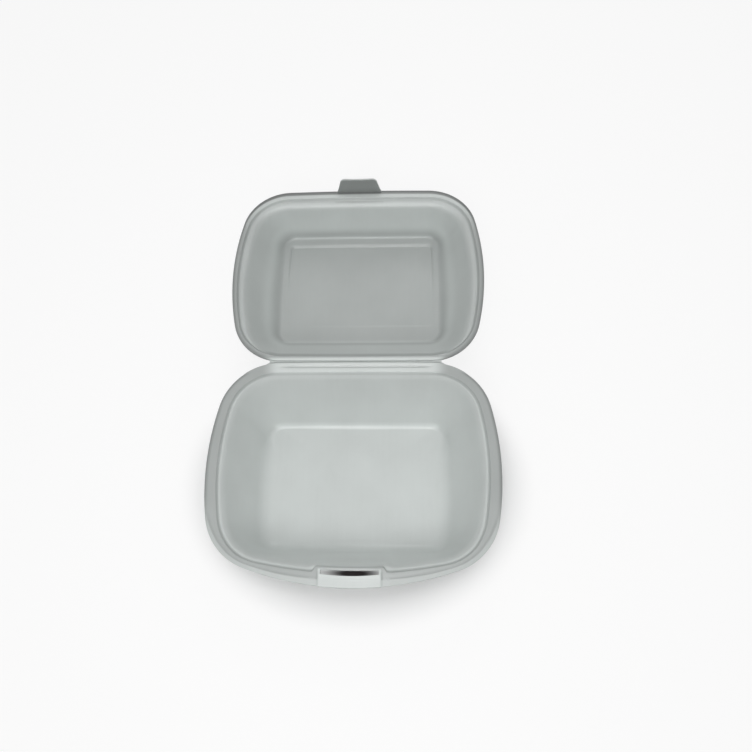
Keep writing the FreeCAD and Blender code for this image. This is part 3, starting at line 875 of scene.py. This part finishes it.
@dataclass
class LidTab:
    """The tab that stands on the lid's front lip: a rounded slab, narrower towards its tip."""

    inner_reach: float = 135.8
    outer_reach: float = 137.2
    root_level: float = 35.4
    tip_level: float = 52.4
    root_half: float = 16.4
    tip_half: float = 12.4
    tip_radius: float = 4.0
    root_flare: float = 0.4
    edge_round: float = 0.55
    tip_sag: float = 0.25
    tip_bend: float = 0.28
    # Painted shade on the tab's faces; the rounded edge is painted lighter.
    face_painted_shade: float = 0.52

    def outline(self) -> np.ndarray:
        """Trace the tab's face: straight slanted sides that flare at the root, and a tip with round corners.

        A side's half width is the tip's plus the slant, plus a flare that falls off with the square of the
        height. The corners are quarter arcs.

        Returns:
            Rows of x and height, anticlockwise as seen from the front.
        """
        t = np.linspace(0.0, 1.0, 26)
        top = self.tip_level - self.tip_radius
        z = self.root_level + (top - self.root_level) * t
        slant = self.root_half + (self.tip_half - self.root_half) * (z - self.root_level) / (
            self.tip_level - self.root_level)
        x = slant + self.root_flare * np.clip(1.0 - (z - self.root_level - 2.1) / 3.5, 0.0, 1.0) ** 2 * (z > 37.0)
        angle = np.linspace(0.0, math.pi / 2, 14)[1:]
        corner_x = x[-1] - self.tip_radius + self.tip_radius * np.cos(angle)
        corner_z = top + self.tip_radius * np.sin(angle)
        across = np.linspace(corner_x[-1], 0.0, 12)[1:]
        sag = self.tip_sag * (1.0 - (across / corner_x[-1]) ** 2)
        right = np.vstack((np.column_stack((x, z)), np.column_stack((corner_x, corner_z)),
                           np.column_stack((across, self.tip_level - sag))))
        left = right[-2::-1] * (-1.0, 1.0)
        foot = np.linspace(-x[0], x[0], 20)[1:-1]
        return np.vstack((right, left, np.column_stack((foot, np.full(len(foot), self.root_level)))))

    def build(self, material: bpy.types.Material) -> bpy.types.Object:
        """Build the slab as rings from the middle of its front face, round its edge, to that of its back.

        The edge is a half turn: the outline moves in by the rounding times one less the sine, and the
        depth follows the cosine. The faces' rings shrink evenly to their middle points.

        Args:
            material: Finish of the tab.

        Returns:
            The tab.
        """
        outline = self.outline()
        step = np.roll(outline, -1, axis=0) - np.roll(outline, 1, axis=0)
        outward = np.column_stack((step[:, 1], -step[:, 0])) / np.linalg.norm(step, axis=1)[:, None]
        half = (self.outer_reach - self.inner_reach) / 2
        depth = CREASE_Y + (self.inner_reach + self.outer_reach) / 2
        angle = np.linspace(0.0, math.pi, 11)
        edge = [np.column_stack((outline - outward * self.edge_round * (1.0 - math.sin(a)),
                                 np.full(len(outline), depth - half * math.cos(a)))) for a in angle]
        centre = np.array([0.0, (self.root_level + self.tip_level) / 2])
        closing = TAB_CLOSING[:, None, None]
        ends = [np.array([*centre, edge[0][0, 2]]), np.array([*centre, edge[-1][0, 2]])]
        rings = np.concatenate((ends[0] + (edge[0] - ends[0]) * closing, np.array(edge),
                                ends[1] + (edge[-1] - ends[1]) * closing[::-1]))
        count, columns = rings.shape[:2]
        flat = np.vstack((rings.reshape(-1, 3), ends[0], ends[1]))
        bend = self.tip_bend * ((flat[:, 1] - RIM_LEVEL) / 15.0) ** 2 * np.cos(flat[:, 0] / 12.0)
        points = np.column_stack((flat[:, 0], flat[:, 2] - np.where(flat[:, 1] > RIM_LEVEL, bend, 0.0), flat[:, 1]))
        faces = [grid_faces(count, columns).reshape(-1, 4), *end_fans(count, columns)]
        # Painted shade on the tab's faces; its rounded edge is painted lighter.
        flat_rings = np.zeros(len(TAB_CLOSING))
        rim = np.repeat(np.concatenate((flat_rings, np.sin(angle), flat_rings)), columns)
        painted_light = np.concatenate((self.face_painted_shade + (1.0 - self.face_painted_shade) * rim ** 2, [self.face_painted_shade, self.face_painted_shade]))
        piece = add_mesh("lid_tab", points, faces, painted_light, material)
        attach(piece, "lid")
        log.info("lid_tab: %d rings of %d points", count, columns)
        return piece


@dataclass
class HingeStrip:
    """The pressed strip between the trays, creased along its middle so that it folds."""

    half_length: float = 57.0
    flare: float = 5.0
    reach: float = 3.6
    top: float = 36.2
    foot: float = 35.2
    crease_depth: float = 0.4
    crease_half_width: float = 0.55
    fold_half_width: float = 1.3
    columns: int = 90

    def build(self, material: bpy.types.Material) -> bpy.types.Object:
        """Build the strip: a closed profile across the hinge, carried along it and closed at both ends.

        Across the hinge, the top is level less a bell curve for the crease. The half length grows evenly
        from the crease to the strip's edge under the base's rim.

        Args:
            material: Finish of the strip.

        Returns:
            The strip.
        """
        # The points lie closest over the fold.
        v = np.concatenate((np.linspace(-self.reach, -1.4, 5), np.linspace(-1.2, 1.2, 17),
                            np.linspace(1.4, self.reach, 5)))
        above = self.top - self.crease_depth * np.exp(-(v / self.crease_half_width) ** 2)
        across = np.concatenate((v, v[::-1]))
        level = np.concatenate((above, np.full(len(v), self.foot)))
        half = self.half_length + self.flare * np.clip(-across / self.reach, 0.0, 1.0)
        u = np.linspace(-1.0, 1.0, self.columns)[:, None]
        rings = np.stack((u * half, np.broadcast_to(across + CREASE_Y, (self.columns, len(across))),
                          np.broadcast_to(level, (self.columns, len(across)))), axis=-1)
        count = len(across)
        quads = grid_faces(self.columns, count).reshape(-1, 4)
        i = np.arange(len(v) - 1)
        cap = np.column_stack((i, i + 1, count - 2 - i, count - 1 - i))
        far = (self.columns - 1) * count
        faces = [quads, cap, cap[:, ::-1] + far]
        points = rings.reshape(-1, 3)
        # Painted shade along the crease.
        painted_light = 1.0 - 0.25 * np.exp(-((points[:, 1] - CREASE_Y) / 0.8) ** 2)
        piece = add_mesh("hinge_strip", points, faces, painted_light, material)
        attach(piece, "base")
        log.info("hinge_strip: %d rings of %d points", self.columns, count)
        return piece

    def bend(self, piece: bpy.types.Object) -> None:
        """Free the strip from the base: unparent it and bake its place into its mesh."""
        piece.parent = None
        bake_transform(piece)


def foam_group() -> bpy.types.NodeTree:
    """Build the shared effect of moulded foam: closed cells, faint drawn streaks and slow mottling.

    Colour follows mottling plus a share of the streaks, and the height follows cells plus a smaller share.

    Returns:
        The node group, which puts out a colour, a roughness and a height.
    """
    group = bpy.data.node_groups.new("moulded_foam", "ShaderNodeTree")
    face = group.interface
    for name, kind in (("Vector", "NodeSocketVector"), ("Pale", "NodeSocketColor"), ("Deep", "NodeSocketColor"),
                       ("Cells per Metre", "NodeSocketFloat"), ("Low Roughness", "NodeSocketFloat"),
                       ("High Roughness", "NodeSocketFloat")):
        face.new_socket(name=name, in_out="INPUT", socket_type=kind)
    for name, kind in (("Color", "NodeSocketColor"), ("Roughness", "NodeSocketFloat"),
                       ("Height", "NodeSocketFloat")):
        face.new_socket(name=name, in_out="OUTPUT", socket_type=kind)
    source = group.nodes.new("NodeGroupInput").outputs
    result = group.nodes.new("NodeGroupOutput").inputs

    def sum_of(first: bpy.types.NodeSocket, share: float, second: bpy.types.NodeSocket) -> bpy.types.NodeSocket:
        """Add a share of one value to another."""
        return add_node(group, "Math", {0: first, 1: share, 2: second}, operation="MULTIPLY_ADD").outputs[0]

    cells = add_node(group, "TexVoronoi", {"Vector": source["Vector"], "Scale": source["Cells per Metre"]},
                     feature="SMOOTH_F1")
    stretch = add_node(group, "Mapping", {"Vector": source["Vector"], "Scale": (420.0, 26.0, 60.0)})
    streaks = add_node(group, "TexNoise", {"Vector": stretch.outputs["Vector"], "Scale": 1.0, "Detail": 3.0})
    mottle = add_node(group, "TexNoise", {"Vector": source["Vector"], "Scale": 34.0, "Detail": 4.0})
    cloud = sum_of(streaks.outputs["Fac"], 0.2, mottle.outputs["Fac"])
    spread = add_node(group, "MapRange", {"Value": cloud, "From Min": 0.38, "From Max": 0.82})
    tint = add_node(group, "Mix", {"Factor": spread.outputs["Result"], "A": source["Deep"], "B": source["Pale"]},
                    data_type="RGBA")
    gloss = add_node(group, "MapRange", {"Value": mottle.outputs["Fac"], "From Min": 0.35, "From Max": 0.65,
                                         "To Min": source["Low Roughness"], "To Max": source["High Roughness"]})
    height = sum_of(streaks.outputs["Fac"], 0.12, cells.outputs["Distance"])
    for name, socket in (("Color", tint.outputs["Result"]), ("Roughness", gloss.outputs["Result"]),
                         ("Height", height)):
        group.links.new(socket, result[name])
    return group


@dataclass(frozen=True)
class FoamFinish:
    """Moulded foam with a satin skin; a point attribute of painted light and shade multiplies its colour by region."""

    name: str
    pale: tuple[float, float, float] = (0.645, 0.682, 0.668)
    deep: tuple[float, float, float] = (0.605, 0.640, 0.626)
    cells_per_metre: float = 1500.0
    low_roughness: float = 0.34
    high_roughness: float = 0.42
    coat: float = 0.4
    coat_roughness: float = 0.24
    bump_strength: float = 0.18
    bump_depth: float = 0.00012

    def build(self, group: bpy.types.NodeTree) -> bpy.types.Material:
        """Build the material.

        Args:
            group: The shared foam effect.

        Returns:
            The finished material.
        """
        material = bpy.data.materials.new(self.name)
        material.use_nodes = True
        tree = material.node_tree
        where = add_node(tree, "TexCoord")
        foam = add_node(tree, "Group", {
            "Vector": where.outputs["Object"], "Pale": (*self.pale, 1.0), "Deep": (*self.deep, 1.0),
            "Cells per Metre": self.cells_per_metre, "Low Roughness": self.low_roughness,
            "High Roughness": self.high_roughness}, node_tree=group)
        # Painted light and shade: a point attribute that multiplies the foam's colour.
        painted_light = add_node(tree, "Attribute", attribute_name="painted_light")
        shade = add_node(tree, "Mix", {"Factor": 1.0, "A": foam.outputs["Color"], "B": painted_light.outputs["Color"]},
                         data_type="RGBA", blend_type="MULTIPLY")
        bump = add_node(tree, "Bump", {"Strength": self.bump_strength, "Distance": self.bump_depth,
                                       "Height": foam.outputs["Height"]})
        shader = tree.nodes["Principled BSDF"]
        shader.inputs["Coat Weight"].default_value = self.coat
        shader.inputs["Coat Roughness"].default_value = self.coat_roughness
        for name, socket in (("Base Color", shade.outputs["Result"]), ("Roughness", foam.outputs["Roughness"]),
                             ("Normal", bump.outputs["Normal"])):
            tree.links.new(socket, shader.inputs[name])
        return material


@dataclass
class PhotoCamera:
    """Camera at the photograph's viewing angle, as fitted to the box's outlines and creases."""

    focal_px: float = 800.0
    pitch_deg: float = 65.14
    distance_mm: float = 527.9
    centre_px: tuple[float, float] = (354.9, 361.4)
    roll_deg: float = -8.14
    yaw_deg: float = -8.78

    def build(self) -> bpy.types.Object:
        """Place the camera and make it the scene's camera.

        Returns:
            The camera object.
        """
        pitch, yaw, roll = (math.radians(v) for v in (self.pitch_deg, self.yaw_deg, self.roll_deg))
        unturn = Matrix.Rotation(-yaw, 3, "Z")
        forward = unturn @ Vector((0.0, math.cos(pitch), -math.sin(pitch)))
        up = unturn @ Vector((0.0, math.sin(pitch), math.cos(pitch)))
        right = unturn @ Vector((1.0, 0.0, 0.0))
        target = Vector((0.0, CREASE_Y, RIM_LEVEL)) * MM
        place = target - forward * self.distance_mm * MM
        turned_right = math.cos(roll) * right + math.sin(roll) * up
        turned_up = -math.sin(roll) * right + math.cos(roll) * up
        data = bpy.data.cameras.new("photo_camera")
        data.sensor_width = 36.0
        data.lens = self.focal_px / IMAGE_SIZE * data.sensor_width
        data.shift_x = (IMAGE_SIZE / 2 - self.centre_px[0]) / IMAGE_SIZE
        data.shift_y = (self.centre_px[1] - IMAGE_SIZE / 2) / IMAGE_SIZE
        camera = bpy.data.objects.new("photo_camera", data)
        turn = Matrix((turned_right, turned_up, -forward)).transposed()
        camera.matrix_world = Matrix.Translation(place) @ turn.to_4x4()
        bpy.context.collection.objects.link(camera)
        bpy.context.scene.camera = camera
        log.info("camera placed")
        return camera


@dataclass(frozen=True)
class SoftLamp:
    """A round soft lamp, aimed at the middle of the base."""

    name: str
    place: tuple[float, float, float]
    size: float
    spread_deg: float
    watts: float
    target: tuple[float, float, float] = (0.0, -0.08, 0.02)

    def build(self) -> None:
        """Hang the lamp and aim it."""
        data = bpy.data.lights.new(self.name, "AREA")
        data.shape = "DISK"
        data.size = self.size
        data.spread = math.radians(self.spread_deg)
        data.energy = self.watts
        lamp = bpy.data.objects.new(self.name, data)
        place = Vector(self.place)
        aim = Vector(self.target) - place
        lamp.matrix_world = Matrix.Translation(place) @ aim.to_track_quat("-Z", "Y").to_matrix().to_4x4()
        bpy.context.collection.objects.link(lamp)


@dataclass(frozen=True)
class OvalFade:
    """An oval of the floor with a soft edge; the fade's ends are shares of its half axes."""

    middle: tuple[float, float]
    half: tuple[float, float]
    fade: tuple[float, float]
    full: float = 1.0

    def mask(self, tree: bpy.types.NodeTree, place: bpy.types.NodeSocket) -> bpy.types.NodeSocket:
        """Make a mask that is 0 in the oval and steps smoothly up to its full value past the edge.

        Args:
            tree: Node tree of the floor's finish.
            place: Coordinates on the floor, in metres.

        Returns:
            The mask.
        """
        (x, y), (half_x, half_y) = self.middle, self.half
        centre = add_node(tree, "Mapping", {"Vector": place, "Location": (-x / half_x, -y / half_y, 0.0),
                                            "Scale": (1.0 / half_x, 1.0 / half_y, 1.0)})
        away = add_node(tree, "VectorMath", {0: centre.outputs["Vector"]}, operation="LENGTH")
        rise = add_node(tree, "MapRange", {"Value": away.outputs["Value"], "From Min": self.fade[0],
                                           "From Max": self.fade[1], "To Max": self.full},
                        interpolation_type="SMOOTHSTEP")
        return rise.outputs["Result"]


@dataclass
class Studio:
    """Pale floor, a room that is lightest overhead, soft lamps before and behind the box and a smaller one above."""

    floor_half: float = 4.0
    floor_color: tuple[float, float, float] = (0.93, 0.93, 0.93)
    foot_shade: OvalFade = OvalFade((0.0, -0.068), (0.105, 0.085), (0.85, 1.15), 0.85)
    # Painted shadow: a near-black patch on the floor under the slot.
    slot_painted_shadow: OvalFade = OvalFade((0.0, -0.1267), (0.0240, 0.0050), (0.25, 1.0))
    slot_shadow_color: tuple[float, float, float] = (0.04, 0.035, 0.035)
    high_strength: float = 0.62
    low_strength: float = 0.12
    lamps: tuple[SoftLamp, ...] = (
        SoftLamp("front_lamp", (-0.06, -0.70, 0.74), 0.42, 50.0, 0.21),
        SoftLamp("overhead_lamp", (0.02, -0.14, 1.05), 0.34, 120.0, 0.6),
        SoftLamp("back_lamp", (0.05, 0.80, 0.70), 0.4, 60.0, 0.11),
    )
    dome_heights: tuple[float, float] = (0.05, 0.85)

    def floor_material(self) -> bpy.types.Material:
        """Build the floor's finish: pale and matt, near white to the camera away from the base's foot.

        A small patch at the foot of the front wall, under the slot, has a painted shadow, near black.

        Returns:
            The finished material.
        """
        material = bpy.data.materials.new("studio_floor")
        material.use_nodes = True
        tree = material.node_tree
        tree.nodes.clear()
        where = add_node(tree, "TexCoord").outputs["Object"]
        rays = add_node(tree, "LightPath")
        # Painted shadow under the slot.
        tint = add_node(tree, "Mix", {"Factor": self.slot_painted_shadow.mask(tree, where), "A": (*self.slot_shadow_color, 1.0),
                                      "B": (*self.floor_color, 1.0)}, data_type="RGBA")
        matt = add_node(tree, "BsdfDiffuse", {"Color": tint.outputs["Result"]})
        white = add_node(tree, "Emission")
        share = add_node(tree, "Math", {0: self.foot_shade.mask(tree, where), 1: rays.outputs["Is Camera Ray"]},
                         operation="MULTIPLY")
        mix = add_node(tree, "MixShader", {"Fac": share.outputs[0], 1: matt.outputs["BSDF"],
                                           2: white.outputs["Emission"]})
        add_node(tree, "OutputMaterial", {"Surface": mix.outputs["Shader"]})
        return material

    def build_floor(self) -> None:
        """Lay the floor as part of the stage."""
        half = self.floor_half
        mesh = bpy.data.meshes.new("studio_floor")
        mesh.from_pydata([(-half, -half, 0), (half, -half, 0), (half, half, 0), (-half, half, 0)], [], [(0, 1, 2, 3)])
        floor = bpy.data.objects.new("studio_floor", mesh)
        bpy.context.collection.objects.link(floor)
        mesh.materials.append(self.floor_material())

    def build_room(self) -> None:
        """Surround the box with a white room, lightest overhead; the camera sees it plain white."""
        world = bpy.data.worlds.new("white_room")
        world.use_nodes = True
        tree = world.node_tree
        room = tree.nodes["Background"]
        room.inputs["Color"].default_value = (1.0, 1.0, 1.0, 1.0)
        rays = add_node(tree, "LightPath")
        toward = add_node(tree, "TexCoord")
        height = add_node(tree, "SeparateXYZ", {"Vector": toward.outputs["Generated"]})
        dome = add_node(tree, "MapRange", {
            "Value": height.outputs["Z"], "From Min": self.dome_heights[0], "From Max": self.dome_heights[1],
            "To Min": self.low_strength, "To Max": self.high_strength}, interpolation_type="SMOOTHSTEP")
        level = add_node(tree, "Mix", {"Factor": rays.outputs["Is Camera Ray"], "A": dome.outputs["Result"], "B": 1.0})
        tree.links.new(level.outputs["Result"], room.inputs["Strength"])
        bpy.context.scene.world = world

    def build(self) -> None:
        """Build the floor, the room and the lamps."""
        self.build_floor()
        self.build_room()
        for lamp in self.lamps:
            lamp.build()
        log.info("studio lit by %d lamps", len(self.lamps))


@dataclass
class Clamshell:
    """The whole container: base, lid, tab and hinge strip."""

    base: BaseTray = field(default_factory=lambda: BaseTray(
        name="base_tray", body="base", heading=Heading.BASE,
        rim=Outline(92.5, 0.6, 145.5, 185.0, 4000.0, 195.0, 39.0),
        step_line=Outline(92.5, 0.6, 141.0, 185.0, 4000.0, 300.0, 39.0),
        lip_width=7.0, ledge_width=3.8, runs=(20.0, 21.8, 12.5), seed=5, ledge_painted_shade=0.98,
        shoulder_painted_shade=0.95, near_crease=2.2))
    lid: LidTray = field(default_factory=lambda: LidTray(
        name="lid_tray", body="lid", heading=Heading.LID,
        rim=Outline(87.5, 0.6, 137.6, 185.0, 4000.0, 2000.0, 34.0),
        step_line=Outline(87.5, 0.6, 137.6, 185.0, 4000.0, 2000.0, 34.0),
        lip_width=3.4, ledge_width=5.4, runs=(18.0, 22.7, 5.7), roof_border=6.5, seed=12,
        front_lip_spare=2.8, near_crease=2.3, side_crease=7.5, far_crease=2.0, crease_painted_highlight=(0.26, 0.24)))
    tab: LidTab = field(default_factory=LidTab)
    strip: HingeStrip = field(default_factory=HingeStrip)

    def build(self) -> list[bpy.types.Object]:
        """Build and dress every piece.

        Returns:
            The pieces.
        """
        group = foam_group()
        skin = FoamFinish("foam_skin").build(group)
        pressed = FoamFinish("pressed_foam", low_roughness=0.3, high_roughness=0.4, bump_strength=0.15).build(group)
        pieces = [self.base.build(skin), self.lid.build(skin), self.tab.build(pressed), self.strip.build(pressed)]
        self.strip.bend(pieces[-1])
        return pieces


def main() -> None:
    """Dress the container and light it."""
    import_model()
    PhotoCamera().build()
    Studio().build()
    pieces = Clamshell().build()
    scene = bpy.context.scene
    scene.view_settings.view_transform = "Standard"
    log.info("%d pieces built", len(pieces))


if __name__ == "__main__":
    logging.basicConfig(level=logging.INFO)
    main()
